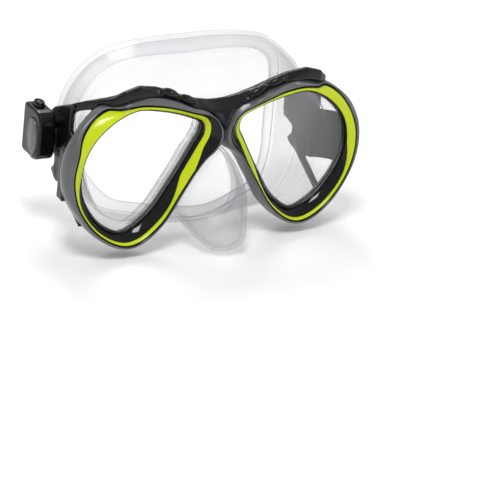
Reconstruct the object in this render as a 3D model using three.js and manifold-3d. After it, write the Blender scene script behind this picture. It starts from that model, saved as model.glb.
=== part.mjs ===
// Two-lens diving mask, in millimetres, +Z up.
// The origin lies midway between the lens centres, on the front edge of the lens openings.
// +Y runs back towards the face and the wearer's left is +X.
import * as THREE from 'three';
import { mergeVertices } from 'three/addons/utils/BufferGeometryUtils.js';
import Module from 'manifold-3d';

const wasm = await Module();
wasm.setup();

// ---- driving dimensions ------------------------------------------------------------
const GAP = 0.3;
const RING_STEPS = 48;
const LENS_CENTRE = 37;
const LENS_OVERLAP = 1.4;
const LENS_FRONT = 2.6;
const LENS_THICKNESS = 3.2;
const LENS_BACK = LENS_FRONT + LENS_THICKNESS;
const RETAINER_LIP = 0.9;
const TRIM_THICKNESS = 1.1;
const TRIM_SEAT = 2.2;
const SHELF_THICKNESS = 1.4;
const FRAME_RING_THICKNESS = 2.2;
const FRAME_RING_INNER = 2.0;
const BROW_BACK = 9.4;
const SKIRT_WALL = 1.6;
const SKIRT_TUBE = 1.5;

const WING_THICKNESS = 2.4;
const WING_TILT = 4;
const PIVOT = new THREE.Vector3(68.2, 39.5, -4.4);

const BUCKLE_INNER = 2.2;
const BUCKLE_OUTER = 10.8;
const BUCKLE_FRONT = -7.5;
const BUCKLE_REAR = 12.0;
const BUCKLE_LOW = -10.6;
const BUCKLE_HIGH = 13.8;
const BUCKLE_WALL = 1.6;
const PIN_RADIUS = 2.0;
const BUTTON_CENTRE = { x: -6.3, y: 4.9 };
const BUTTON_HALF = { x: 2.5, y: 3.6 };
const BUTTON_PROUD = 2.3;
const COVER_HALF = { y: 5.6, z: 9.6 };
const ROLLER = { x: -7.0, y: 10.4, radius: 1.4 };
const PAWL_HINGE = { x: -4.8, y: 8.1, radius: 0.8 };

// ---- materials ---------------------------------------------------------------------
const finish = (color, roughness, metalness = 0) =>
  new THREE.MeshStandardMaterial({ color, roughness, metalness });

const GUNMETAL = finish(0x6c6e72, 0.35, 0.6);
const BLACK_SATIN = finish(0x1d1e20, 0.4);
const BLACK_GLOSS = finish(0x08090a, 0.12);
const LIME_GLOSS = finish(0xb9cf10, 0.25);
const SILICONE = finish(0xe9e8ee, 0.25);
const TEMPERED_GLASS = finish(0xf2f6f6, 0.03);
const STEEL = finish(0xb8babd, 0.3, 1);
for (const clear of [SILICONE, TEMPERED_GLASS]) {
  clear.transparent = true;
  clear.opacity = 0.35;
}

// ---- geometry helpers --------------------------------------------------------------
const point = (x, y, z) => new THREE.Vector3(x, y, z);

// Turns a closed geometry's triangles round if they face inwards.
function faceOutwards(geometry) {
  const vertices = geometry.attributes.position;
  const triangles = geometry.index.array;
  const corner = [point(0, 0, 0), point(0, 0, 0), point(0, 0, 0)];
  let volume = 0;
  for (let start = 0; start < triangles.length; start += 3) {
    corner.forEach((vertex, side) => vertex.fromBufferAttribute(vertices, triangles[start + side]));
    volume += corner[0].dot(corner[1].clone().cross(corner[2]));
  }
  if (volume < 0) triangles.reverse();
  return geometry;
}

// Joins rings of points, all with the same count, into one closed surface. A looped loft
// comes back to its first ring; any other is closed by a fan over its first and last ring.
function loft(rings, looped) {
  const count = rings[0].length;
  const vertices = rings.flat();
  const triangles = [];
  const spans = looped ? rings.length : rings.length - 1;
  for (let row = 0; row < spans; row += 1) {
    const here = row * count;
    const there = ((row + 1) % rings.length) * count;
    for (let side = 0; side < count; side += 1) {
      const next = (side + 1) % count;
      triangles.push(here + side, there + side, there + next);
      triangles.push(here + side, there + next, here + next);
    }
  }
  if (!looped) {
    for (const [row, flip] of [[0, false], [rings.length - 1, true]]) {
      const centre = rings[row].reduce((sum, vertex) => sum.add(vertex), point(0, 0, 0));
      vertices.push(centre.divideScalar(count));
      for (let side = 0; side < count; side += 1) {
        const edge = [row * count + side, row * count + ((side + 1) % count)];
        if (flip) edge.reverse();
        triangles.push(vertices.length - 1, ...edge);
      }
    }
  }
  const geometry = new THREE.BufferGeometry().setFromPoints(vertices);
  geometry.setIndex(triangles);
  return faceOutwards(geometry);
}

function mirrored(geometry) {
  const copy = mergeVertices(bare(geometry), 1e-4);
  copy.scale(-1, 1, 1);
  return faceOutwards(copy);
}

function bare(geometry) {
  const copy = geometry.clone();
  copy.deleteAttribute('normal');
  copy.deleteAttribute('uv');
  return copy;
}

function solid(geometry) {
  const welded = mergeVertices(bare(geometry), 1e-4);
  return new wasm.Manifold(new wasm.Mesh({
    numProp: 3,
    vertProperties: new Float32Array(welded.attributes.position.array),
    triVerts: new Uint32Array(welded.index.array),
  }));
}

function surfaceOf(body) {
  const mesh = body.getMesh();
  const geometry = new THREE.BufferGeometry();
  geometry.setAttribute('position', new THREE.BufferAttribute(mesh.vertProperties, 3));
  geometry.setIndex(new THREE.BufferAttribute(mesh.triVerts, 1));
  return geometry;
}

const joined = (bodies) => bodies.reduce((whole, body) => whole.add(body));
const spline = (points, closed) => new THREE.CatmullRomCurve3(points, closed, 'centripetal');

// A rounded outline from corners [x, y, radius], as a shape.
function roundedShape(corners) {
  const shape = new THREE.Shape();
  corners.forEach(([x, y, radius], index) => {
    const corner = new THREE.Vector2(x, y);
    const [before, after] = [corners.at(index - 1), corners[(index + 1) % corners.length]].map(
      ([nearX, nearY]) => new THREE.Vector2(nearX, nearY).sub(corner).setLength(radius).add(corner),
    );
    if (index === 0) shape.moveTo(before.x, before.y);
    else shape.lineTo(before.x, before.y);
    shape.quadraticCurveTo(x, y, after.x, after.y);
  });
  return shape;
}

const box = (low, high) => {
  const size = high.map((value, axis) => value - low[axis]);
  const middle = high.map((value, axis) => (value + low[axis]) / 2);
  return new THREE.BoxGeometry(...size).translate(...middle);
};

// ---- the rim tables ----------------------------------------------------------------
// The lens opening of the wearer's left side, as [x, z] points on a closed smooth curve.
const OPENING = [
  [73.5, -9.5], [70, 4], [60.5, 14.4], [47.5, 20.3], [33, 18.8], [17.5, 14.2], [11.2, 10.9],
  [10, 6], [13.6, -1.2], [24.2, -19.2], [34.5, -33.6], [47.5, -41.6], [60.5, -36], [71.2, -21.8],
];

// Sizes of the rim by the angle round the lens centre, 0 degrees at the outer side and 90 at
// the top: the width and depth of the trim's outer edge, the width of the coloured insert, how
// far the insert stands off the opening, and the width and depth of the bezel's outer wall.
const RIM = [
  [0, 4.9, -1.2, 4.9, 0.4, 8.8, 3.0],
  [12, 5.9, 2.6, 5.9, 0.4, 8.4, 3.8],
  [24, 6.1, 4.6, 6.1, 0.4, 7.7, 5.6],
  [38, 5.0, 5.6, 5.0, 0.4, 6.7, 7.6],
  [48, 2.7, 3.0, 2.7, 0.4, 5.5, 8.4],
  [58, 2.1, 1.0, 2.1, 0.4, 5.5, 6.2],
  [76, 1.9, 0.5, 1.9, 0.4, 5.6, 1.8],
  [99, 2.2, 0.0, 2.2, 0.4, 6.1, -0.8],
  [122, 2.5, -1.6, 2.5, 0.4, 5.4, -1.8],
  [142, 2.6, -2.0, 2.5, 0.4, 4.4, -0.6],
  [152, 3.4, -2.8, 2.7, 0.4, 5.0, 0.8],
  [160, 5.6, -4.2, 3.0, 0.4, 7.0, 3.0],
  [168, 7.2, -4.8, 3.0, 0.4, 11.0, 4.0],
  [177, 6.8, -4.8, 3.0, 0.4, 10.0, 4.0],
  [190, 5.0, -4.6, 3.4, 0.4, 7.0, 4.0],
  [208, 4.3, -4.3, 4.0, 0.4, 5.9, 4.0],
  [222, 4.2, -4.2, 4.2, 0.6, 5.8, 4.0],
  [248, 4.2, -4.6, 4.2, 2.7, 5.8, 3.0],
  [272, 4.5, -5.6, 4.5, 3.0, 6.6, 0.6],
  [290, 4.1, -5.4, 4.1, 2.7, 6.4, 0.0],
  [306, 4.2, -4.2, 4.2, 2.8, 6.0, 0.0],
  [324, 4.4, -2.8, 4.4, 2.8, 6.4, 0.6],
  [336, 4.4, -2.2, 4.4, 1.6, 7.6, 1.6],
  [346, 4.7, -1.8, 4.7, 0.4, 8.4, 2.4],
];

// Reads the table at any angle, with a smooth curve through its rows all the way round.
function rimAt(angle) {
  const above = RIM.findIndex((row) => row[0] > angle);
  const next = above < 0 ? RIM.length : above;
  const [a, b, c, d] = [next - 2, next - 1, next, next + 1].map((index) => {
    const row = RIM[(index + RIM.length) % RIM.length];
    return [row[0] + 360 * Math.floor(index / RIM.length), ...row.slice(1)];
  });
  const part = (angle - b[0]) / (c[0] - b[0]);
  const values = b.slice(1).map((start, column) => {
    const end = c[column + 1];
    const leave = ((end - a[column + 1]) / (c[0] - a[0])) * (c[0] - b[0]);
    const arrive = ((d[column + 1] - start) / (d[0] - b[0])) * (c[0] - b[0]);
    const cubic = (2 * start - 2 * end + leave + arrive) * part ** 3;
    return cubic + (3 * end - 3 * start - 2 * leave - arrive) * part ** 2 + leave * part + start;
  });
  const [edge, depth, insertEdge, insertStart, wall, wallDepth] = values;
  return {
    edge,
    depth,
    insertEdge: Math.min(insertEdge, edge - 0.35),
    insertStart: Math.max(insertStart, 0.35),
    wall: Math.max(wall, edge + 1.2),
    wallDepth,
  };
}

// Stations round the opening: where each is, which way is outwards, and the rim's sizes there.
const STATIONS = (() => {
  const curve = spline(OPENING.map(([x, z]) => point(x, 0, z)), true);
  return Array.from({ length: RING_STEPS }, (_, step) => {
    const place = curve.getPointAt(step / RING_STEPS);
    const along = curve.getTangentAt(step / RING_STEPS);
    const degrees = THREE.MathUtils.radToDeg(Math.atan2(place.z, place.x - LENS_CENTRE));
    return { place, outX: along.z, outZ: -along.x, rim: rimAt((degrees + 360) % 360) };
  });
})();

// A ring round the opening: section gives [offset, depth] pairs at each station.
function ring(section) {
  return loft(STATIONS.map(({ place, outX, outZ, rim }) => section(rim).map(([offset, depth]) =>
    point(place.x + outX * offset, depth, place.z + outZ * offset))), true);
}

// A plug of the opening's outline; its back may be a depth or a function of the rim.
function discOfOpening(offset, front, back) {
  const rearAt = typeof back === 'function' ? back : () => back;
  const rows = [() => front, rearAt].map((depthAt) => STATIONS.map(({ place, outX, outZ, rim }) =>
    point(place.x + outX * offset, depthAt(rim), place.z + outZ * offset)));
  return loft(rows, false);
}

// The sculpted front face of the rim, falling back or rising forward with the offset.
const faceDepth = (rim, offset) =>
  rim.depth * (Math.max(offset, 0) / rim.edge) ** (rim.depth > 0 ? 2 : 1.3);
const seatDepth = (rim, offset) => Math.max(LENS_FRONT - GAP, faceDepth(rim, offset) + TRIM_SEAT);
const wallBack = (rim) => Math.max(6.9, rim.wallDepth + 1.6, rim.depth + 4.6);

// ---- lens group --------------------------------------------------------------------
const lens = () => discOfOpening(LENS_OVERLAP, LENS_FRONT, LENS_BACK);

// Gloss black ring that holds the glass down, with a channel for the coloured insert.
const lensRetainer = () => ring((rim) => {
  const channel = [rim.insertStart, (rim.insertStart + rim.insertEdge) / 2, rim.insertEdge];
  const floor = TRIM_THICKNESS + GAP;
  return [
    [-RETAINER_LIP, LENS_FRONT - GAP],
    [-RETAINER_LIP, LENS_FRONT - 0.7],
    [0, 0.1],
    [channel[0], faceDepth(rim, channel[0])],
    ...channel.map((offset) => [offset, faceDepth(rim, offset) + floor]),
    [channel[2], faceDepth(rim, channel[2])],
    [rim.edge, rim.depth],
    [rim.edge, seatDepth(rim, rim.edge)],
    [LENS_OVERLAP + GAP, seatDepth(rim, LENS_OVERLAP + GAP)],
    [LENS_OVERLAP + GAP - 0.05, LENS_FRONT - GAP],
  ];
});

const limeInsert = () => ring((rim) => {
  const from = rim.insertStart + GAP * 0.5;
  const to = rim.insertEdge - GAP * 0.5;
  const across = [from, from + (to - from) * 0.35, from + (to - from) * 0.7, to];
  const front = across.map((offset) => [offset, faceDepth(rim, offset) - 0.1]);
  const back = across.map((offset) => [offset, faceDepth(rim, offset) + TRIM_THICKNESS - 0.15]);
  return [...front, ...back.reverse()];
});

// ---- front bezel -------------------------------------------------------------------
const bezelRing = () => ring((rim) => {
  const lip = rim.edge + GAP;
  const shelf = (offset) => seatDepth(rim, offset) + 1.5 * GAP;
  const shelfInner = LENS_OVERLAP + 2 * GAP;
  return [
    [lip, rim.depth + 0.1],
    [lip + 0.8, rim.depth - 0.2],
    [(lip + rim.wall) / 2 + 0.6, (rim.depth * 2 + rim.wallDepth) / 3],
    [rim.wall, rim.wallDepth],
    [rim.wall - 0.3, wallBack(rim)],
    [lip + 0.2, wallBack(rim)],
    [lip, Math.min(shelf(lip) + SHELF_THICKNESS, wallBack(rim) - 0.2)],
    [shelfInner, shelf(shelfInner) + SHELF_THICKNESS],
    [shelfInner, shelf(shelfInner)],
    [lip, shelf(lip) + 0.1],
  ];
});

// The bezel is one moulding round both lenses, and its two rings run together at the bridge.
function frontBezel() {
  const left = bezelRing();
  const arch = box([-5.2, -4.2, 1.0], [5.2, 6.9, 7.2]);
  const clearOfTrims = ring((rim) => [
    [-8, -12], [rim.edge + GAP, -12], [rim.edge + GAP, seatDepth(rim, rim.edge) + GAP],
    [-8, seatDepth(rim, rim.edge) + GAP],
  ]);
  const bridge = solid(arch).subtract(solid(clearOfTrims)).subtract(solid(mirrored(clearOfTrims)));
  const rings = solid(left).subtract(solid(mirrored(clearOfTrims)));
  const otherRing = solid(mirrored(left)).subtract(solid(clearOfTrims));
  return surfaceOf(joined([rings, otherRing, bridge]));
}

// Everything that the main frame leaves free for the bezel and the parts it holds.
const bezelRoom = () => ring((rim) => [
  [1.0, -16], [rim.wall + GAP, -16], [rim.wall + GAP, wallBack(rim) + GAP],
  [1.0, wallBack(rim) + GAP],
]);

// ---- main frame --------------------------------------------------------------------
const frameRing = () => ring((rim) => {
  const front = wallBack(rim) + GAP;
  const outer = Math.max(FRAME_RING_INNER + 1.6, rim.wall - 1.6);
  return [
    [FRAME_RING_INNER, front], [outer, front],
    [outer, front + FRAME_RING_THICKNESS], [FRAME_RING_INNER, front + FRAME_RING_THICKNESS],
  ];
});

// Sections of the brow from the bridge out to the horn: x, lower front edge y and z, upper
// front edge y and z.
const BROW = [
  [-1, -4.2, 10.6, 8.0, 19.0], [5, -3.8, 11.4, 7.4, 19.4], [12, -1.8, 13.2, 6.2, 21.0],
  [20, 0.4, 17.0, 5.2, 23.8], [28, 1.6, 20.0, 4.2, 27.2], [36, 2.2, 22.0, 2.8, 30.4],
  [46, 2.6, 23.0, 0.8, 32.6], [54, 3.4, 20.0, 1.2, 30.2],
];

// The horn bends round the corner of the lens and becomes the wing's upper arm: the outer and
// inner upper edges of each section, and its height.
const HORN = [
  { outer: [58.6, 3.4, 26.4], inner: [55.6, 8.4, 26.4], height: 6.0 },
  { outer: [63.0, 10.0, 23.8], inner: [60.4, 12.6, 24.0], height: 5.0 },
  { outer: [66.0, 17.4, 20.8], inner: [63.6, 18.4, 21.0], height: 4.6 },
  { outer: [68.2, 23.0, 18.2], inner: [65.8, 23.2, 18.2], height: 5.0 },
];

function browHalf() {
  const brow = BROW.map(([x, lowY, lowZ, highY, highZ]) => [
    point(x, lowY, lowZ - 3),
    point(x, (lowY + highY) / 2 - 1.4, (lowZ + highZ) / 2 + 0.6),
    point(x, highY, highZ),
    point(x, Math.min(highY + 2.6, BROW_BACK - 0.2), highZ - 0.5),
    point(x, BROW_BACK, (lowZ + highZ) / 2),
    point(x, BROW_BACK, lowZ - 3),
  ]);
  const horn = HORN.map(({ outer, inner, height }) => {
    const [outTop, inTop] = [point(...outer), point(...inner)];
    const down = (top, part) => top.clone().add(point(0, 0, -height * part));
    return [down(outTop, 1), down(outTop, 0.5), outTop, inTop, down(inTop, 0.5), down(inTop, 1)];
  });
  return loft([...brow, ...horn], false);
}

// Raised oval vents that decorate the brow on both sides of the bridge.
function browBeads() {
  return [[19.6, 2.4, 22.6], [29.6, 2.0, 27.0]].map(([x, y, z]) => {
    const bead = new THREE.SphereGeometry(1, 12, 8).scale(5.4, 2.2, 2.3);
    return bead.rotateY(THREE.MathUtils.degToRad(-24)).translate(x, y, z);
  });
}

// The side wing carries the buckle. Its outline is in the wing's own plane, y back and z up
// from the buckle's pivot, with a radius at each corner.
const WING_OUTLINE = [
  [-19.0, 23.4, 1], [3.0, 13.4, 3], [6.4, 9.0, 2], [6.4, -6.4, 3], [-2.6, -9.8, 1], [-2.6, -13.4, 1.5],
  [1.4, -17.2, 2], [-4.9, -21.2, 2], [-20.5, -20.4, 2], [-20.5, 5.6, 1], [-16.8, 9.4, 1], [-16.8, 17.0, 1],
];

// The web that joins the wing to the frame's ring: [x, y] corners of its level section.
const WEB_OUTLINE = [
  [76.0, 8.0], [78.8, 8.0], [78.2, 14.6], [70.6, 21.6], [66.8, 21.6], [66.8, 20.4], [75.6, 13.6],
];
const WEB_SPAN = [-24.4, 1.0];

// A strut braces the wing's foot against the ring: centres and half heights of its sections.
const STRUT = [
  [67.6, 36.0, -20.5, 2.2], [66.6, 28.0, -25.6, 2.2], [66.9, 18.5, -31.8, 2.2], [66.6, 9.2, -37.6, 2.0],
];

// Stands a flat shape, drawn in y and z, upright along the mask's side.
const ON_SIDE = new THREE.Matrix4().makeBasis(point(0, 1, 0), point(0, 0, 1), point(1, 0, 0));

// Moves a shape from the wing's own place, for the wearer's right side, into the mask's frame.
const onRightWing = (geometry) =>
  geometry.rotateZ(THREE.MathUtils.degToRad(-WING_TILT)).translate(-PIVOT.x, PIVOT.y, PIVOT.z);

function wingPlate() {
  const settings = { depth: WING_THICKNESS, bevelEnabled: false, curveSegments: 3 };
  const plate = new THREE.ExtrudeGeometry(roundedShape(WING_OUTLINE), settings);
  return onRightWing(plate.applyMatrix4(ON_SIDE));
}

const wingWeb = () => loft(WEB_SPAN.map((z) => WEB_OUTLINE.map(([x, y]) => point(x, y, z))), false);

const wingStrut = () => loft(STRUT.map(([x, y, z, half]) => [
  point(x - 1.2, y, z - half), point(x + 1.2, y, z - half),
  point(x + 1.2, y, z + half), point(x - 1.2, y, z + half),
]), false);

function mainFrame() {
  const half = [frameRing(), browHalf(), ...browBeads(), wingPlate(), wingWeb(), wingStrut()];
  const both = half.flatMap((geometry) => [solid(geometry), solid(mirrored(geometry))]);
  const room = [bezelRoom(), discOfOpening(FRAME_RING_INNER, -16, (rim) => wallBack(rim) + 3)];
  const cuts = room.flatMap((geometry) => [solid(geometry), solid(mirrored(geometry))]);
  return surfaceOf(cuts.reduce((left, cutter) => left.subtract(cutter), joined(both)));
}

// ---- skirt -------------------------------------------------------------------------
// Rails of the skirt's body from the top of the brow down to the lip: where it leaves the
// frame, and its rim on the face, as [x, y, z].
const SKIRT_FRONT = [
  [0, 10, 16.0], [18, 10.2, 16.4], [34, 10.8, 19.6], [47, 12.2, 19.8], [58, 14.0, 13.4],
  [67.0, 12.4, 4.0], [69.0, 11.0, -9], [66.2, 10.4, -20], [57.6, 10, -34.0], [46.6, 10, -40.6],
  [30, 10, -41.6], [12, 10, -42.6], [0, 10, -43],
];
const SKIRT_RIM = [
  [0, 44.5, 39.0], [18, 44, 39.0], [34, 43, 37.8], [46, 42.8, 34.8], [55.5, 44, 27.6],
  [61.4, 47.0, 15], [62.6, 49.5, 2], [61.4, 47, -14], [57.2, 41, -30], [47, 33, -41.6],
  [31, 26, -45], [13, 19, -47], [0, 17, -47.6],
];
const SKIRT_STEPS = 36;
const SKIRT_ROWS = [0, 0.14, 0.3, 0.5, 0.75, 1];

function skirtRail(points) {
  const mirror = points.slice(1, -1).reverse().map(([x, y, z]) => [-x, y, z]);
  const curve = spline([...points, ...mirror].map(([x, y, z]) => point(x, y, z)), true);
  return (part) => curve.getPoint(part % 1);
}

// The body bulges between its rails: each row is a point on a quadratic curve from the frame
// to the rim, and an inset draws it in towards the middle by the wall's thickness. Its front
// may be moved along y on its own.
function skirtBody(inset, frontShift = 0) {
  const [front, rim] = [skirtRail(SKIRT_FRONT), skirtRail(SKIRT_RIM)];
  const row = (along) => Array.from({ length: SKIRT_STEPS }, (_, step) => {
    const [start, end] = [front(step / SKIRT_STEPS), rim(step / SKIRT_STEPS)];
    const leastY = start.y + (1.0 + along) * inset;
    const bend = start.clone().lerp(end, 0.9);
    bend.y = THREE.MathUtils.lerp(start.y, end.y, 0.15);
    const place = start.multiplyScalar((1 - along) ** 2)
      .addScaledVector(bend, 2 * along * (1 - along)).addScaledVector(end, along ** 2);
    place.addScaledVector(point(-place.x, 0, -6 - place.z).normalize(), inset);
    place.y = Math.max(place.y, leastY);
    return place;
  });
  const rows = SKIRT_ROWS.map(row);
  if (inset > 0) {
    rows[0].forEach((place) => { place.y += frontShift; });
    rows.push(row(1).map((place) => place.add(point(0, 14, 0))));
  }
  return loft(rows, false);
}

// The nose pocket by its depth: y, top z, bottom z and half width.
const NOSE = [
  [13, 1.0, -45.0, 16.4], [7.2, -2.6, -45.8, 16.8], [2, -2.8, -46.8, 17.0], [-3.4, -4.0, -48.6, 15.6],
  [-7.5, -9.0, -50.6, 13.6], [-11, -15.4, -51.6, 11.6], [-14.5, -22.6, -51.0, 9.8],
  [-17.5, -29.0, -49.0, 7.6], [-19.6, -34.4, -45.8, 4.6],
];
const NOSE_SIDES = 20;

function nosePocket(inset) {
  return loft(NOSE.map(([y, top, bottom, width], index) => {
    const half = (top - bottom) / 2 - inset;
    const depth = index === NOSE.length - 1 ? y + inset : y + inset * 0.6;
    return Array.from({ length: NOSE_SIDES }, (_, side) => {
      const angle = (2 * Math.PI * side) / NOSE_SIDES;
      const taper = 1 - 0.52 * Math.cos(angle);
      const across = Math.max(width - inset, 0.6) * Math.sin(angle) * taper;
      return point(across, depth, (top + bottom) / 2 + half * Math.cos(angle));
    });
  }), false);
}

function skirt() {
  const column = discOfOpening(SKIRT_TUBE, LENS_BACK + GAP, (rim) => wallBack(rim) + 5);
  const pocketInset = SKIRT_TUBE - SKIRT_WALL;
  const pocket = discOfOpening(pocketInset, 2, (rim) => wallBack(rim) + 5 - SKIRT_WALL - GAP);
  const through = solid(skirtBody(SKIRT_WALL + GAP, -9)).intersect(solid(discOfOpening(pocketInset, 2, 17)));
  const outer = [skirtBody(0), column, mirrored(column), nosePocket(0)].map(solid);
  const inner = [skirtBody(SKIRT_WALL), pocket, mirrored(pocket), nosePocket(SKIRT_WALL)].map(solid);
  return surfaceOf(joined(outer).subtract(joined([...inner, through, through.mirror([1, 0, 0])])));
}

// ---- buckle, in the right wing's own place ------------------------------------------
// A turned piece about the wing's normal, from [distance out, radius] pairs.
function turned(profile, sides = 16) {
  const points = profile.map(([out, radius]) => new THREE.Vector2(radius, out));
  const lathe = bare(new THREE.LatheGeometry(points, sides).rotateZ(Math.PI / 2));
  return faceOutwards(mergeVertices(lathe, 1e-4));
}

// A rod that stands upright in the buckle.
function upright({ x, y }, radius, low, high, sides = 12) {
  const rod = new THREE.CylinderGeometry(radius, radius, high - low, sides);
  return rod.rotateX(Math.PI / 2).translate(x, y, (low + high) / 2);
}

// A stack of upright ovals from [z, growth] levels.
function ovalStack(centre, half, levels, sides = 20) {
  return loft(levels.map(([z, grow]) => Array.from({ length: sides }, (_, side) => {
    const angle = (2 * Math.PI * side) / sides;
    const [x, y] = [(half.x + grow) * Math.cos(angle), (half.y + grow) * Math.sin(angle)];
    return point(centre.x + x, centre.y + y, z);
  })), false);
}

const swivelMount = () => turned([[GAP, 2.4], [GAP, 6.4], [1.4, 6.4], [1.8, 5.8], [1.8, 2.4], [GAP, 2.4]]);

const pivotPin = () => turned([
  [GAP, 0], [GAP, PIN_RADIUS], [9.0, PIN_RADIUS], [9.0, 3.4], [10.0, 3.4], [10.0, 0],
]);

// The oval cover over the pivot, from rows of [distance out, growth].
function coverShape(rows) {
  const sides = 24;
  return loft(rows.map(([out, grow]) => Array.from({ length: sides }, (_, side) => {
    const angle = (2 * Math.PI * side) / sides;
    return point(-out, (COVER_HALF.y + grow) * Math.cos(angle), (COVER_HALF.z + grow) * Math.sin(angle));
  })), false);
}

const coverDisc = () => coverShape([
  [BUCKLE_OUTER - 0.4, 0], [BUCKLE_OUTER + 0.3, 0], [BUCKLE_OUTER + 0.9, -1.2],
]);

function buckleBody() {
  const outline = roundedShape([
    [BUCKLE_FRONT, BUCKLE_LOW, 6.5], [BUCKLE_REAR, BUCKLE_LOW, 2.4],
    [BUCKLE_REAR, BUCKLE_HIGH, 2.4], [BUCKLE_FRONT, BUCKLE_HIGH, 6.5],
  ]);
  const bevel = { bevelEnabled: true, bevelThickness: 1.2, bevelSize: 1.0, bevelOffset: -1.0, bevelSegments: 2 };
  const depth = BUCKLE_OUTER - BUCKLE_INNER - 2 * bevel.bevelThickness;
  const block = new THREE.ExtrudeGeometry(outline, { depth, curveSegments: 4, ...bevel });
  block.applyMatrix4(ON_SIDE).translate(bevel.bevelThickness - BUCKLE_OUTER, 0, 0);
  const inside = [BUCKLE_LOW + BUCKLE_WALL, BUCKLE_HIGH - BUCKLE_WALL];
  const chamber = box([-9.4, 2.0, inside[0]], [-3.7, BUCKLE_REAR + 1, inside[1]]);
  const bore = turned([[0, 0], [0, PIN_RADIUS + 0.1], [8.6, PIN_RADIUS + 0.1], [8.6, 3.7], [14, 3.7], [14, 0]]);
  const coverSeat = coverShape([[BUCKLE_OUTER - 0.7, GAP], [BUCKLE_OUTER + 1, GAP]]);
  const wells = [[BUCKLE_HIGH - 5, BUCKLE_HIGH + 2], [BUCKLE_LOW - 2, BUCKLE_LOW + 5]].map((span) =>
    ovalStack(BUTTON_CENTRE, BUTTON_HALF, span.map((z) => [z, GAP])));
  const cuts = [chamber, bore, coverSeat, ...wells].map(solid);
  return surfaceOf(cuts.reduce((left, cutter) => left.subtract(cutter), solid(block)));
}

// A push button: way is 1 for the upper one and -1 for the lower one.
function pushButton(way) {
  const wall = way > 0 ? BUCKLE_HIGH : BUCKLE_LOW;
  const foot = wall - way * (BUCKLE_WALL + 2.6);
  return ovalStack(BUTTON_CENTRE, BUTTON_HALF, [
    [foot, -0.6], [foot + way * 0.6, 0], [wall + way * (BUTTON_PROUD - 1.2), 0],
    [wall + way * (BUTTON_PROUD - 0.4), -0.5], [wall + way * BUTTON_PROUD, -1.5],
  ]);
}

// One coil spring stands between the two buttons.
function buttonSpring() {
  const [radius, wire, turns, stepsPerTurn, sides] = [1.7, 0.4, 4, 8, 4];
  const [low, high] = [BUCKLE_LOW + BUCKLE_WALL + 3.4, BUCKLE_HIGH - BUCKLE_WALL - 3.4];
  const steps = turns * stepsPerTurn;
  return loft(Array.from({ length: steps + 1 }, (_, step) => {
    const turn = (2 * Math.PI * step) / stepsPerTurn;
    const out = point(Math.cos(turn), Math.sin(turn), 0);
    const centre = point(BUTTON_CENTRE.x, BUTTON_CENTRE.y, low + ((high - low) * step) / steps);
    centre.addScaledVector(out, radius);
    return Array.from({ length: sides }, (_, side) => {
      const angle = (2 * Math.PI * side) / sides;
      const around = point(0, 0, wire * Math.sin(angle)).addScaledVector(out, wire * Math.cos(angle));
      return around.add(centre);
    });
  }), false);
}

const ROLLER_ENDS = [BUCKLE_LOW + BUCKLE_WALL + GAP, BUCKLE_HIGH - BUCKLE_WALL - GAP];

function strapRoller() {
  const sleeve = upright(ROLLER, ROLLER.radius, ROLLER_ENDS[0] + 1.2, ROLLER_ENDS[1] - 1.2);
  const bore = upright(ROLLER, 0.75, ROLLER_ENDS[0] - 1, ROLLER_ENDS[1] + 1, 12);
  return surfaceOf(solid(sleeve).subtract(solid(bore)));
}

const rollerPin = () => upright(ROLLER, 0.62, ...ROLLER_ENDS, 12);

// The pawl is a toothed plate on its own upright hinge, which pinches the strap on the roller.
function strapPawl() {
  const { x, y, radius } = PAWL_HINGE;
  const profile = roundedShape([
    [x - radius, y - radius, 0.3], [x + radius, y - radius, 0.3], [x + radius, y + radius, 0.3],
    [x + 0.7, y + 4.2, 0.2], [x - 0.5, y + 4.2, 0.2], [x - 0.3, y + 2.6, 0.1], [x - 0.9, y + radius, 0.1],
  ]);
  const [low, high] = [ROLLER_ENDS[0] + 4.8, ROLLER_ENDS[1] - 4.8];
  const settings = { depth: high - low, bevelEnabled: false, curveSegments: 2 };
  return new THREE.ExtrudeGeometry(profile, settings).translate(0, 0, low);
}

// ---- assembly ----------------------------------------------------------------------
function named(name, geometry, material) {
  const mesh = new THREE.Mesh(geometry, material);
  mesh.name = name;
  return mesh;
}

const mask = new THREE.Group();
mask.add(named('skirt', skirt(), SILICONE));
mask.add(named('main_frame', mainFrame(), BLACK_SATIN));
mask.add(named('front_bezel', frontBezel(), GUNMETAL));

const LENS_GROUP = [
  ['lens', lens(), TEMPERED_GLASS],
  ['lens_retainer', lensRetainer(), BLACK_GLOSS],
  ['lime_insert', limeInsert(), LIME_GLOSS],
];
const BUCKLE = [
  ['swivel_mount', swivelMount(), BLACK_SATIN],
  ['pivot_pin', pivotPin(), STEEL],
  ['buckle_body', buckleBody(), BLACK_SATIN],
  ['cover_disc', coverDisc(), BLACK_SATIN],
  ['upper_button', pushButton(1), BLACK_GLOSS],
  ['lower_button', pushButton(-1), BLACK_GLOSS],
  ['button_spring', buttonSpring(), STEEL],
  ['strap_roller', strapRoller(), BLACK_SATIN],
  ['roller_pin', rollerPin(), STEEL],
  ['strap_pawl', strapPawl(), BLACK_SATIN],
];

for (const [name, geometry, material] of LENS_GROUP) {
  mask.add(named(`left_${name}`, geometry, material));
  mask.add(named(`right_${name}`, mirrored(geometry), material));
}
for (const [side, way] of [['right', -1], ['left', 1]]) {
  const wing = new THREE.Group();
  wing.position.set(way * PIVOT.x, PIVOT.y, PIVOT.z);
  wing.rotation.z = THREE.MathUtils.degToRad(way * WING_TILT);
  for (const [name, geometry, material] of BUCKLE) {
    const shape = way < 0 ? geometry : mirrored(geometry);
    wing.add(named(`${side}_${name}`, shape, material));
  }
  mask.add(wing);
}

export default mask;
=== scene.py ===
"""A two-lens diving mask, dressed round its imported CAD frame."""

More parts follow.
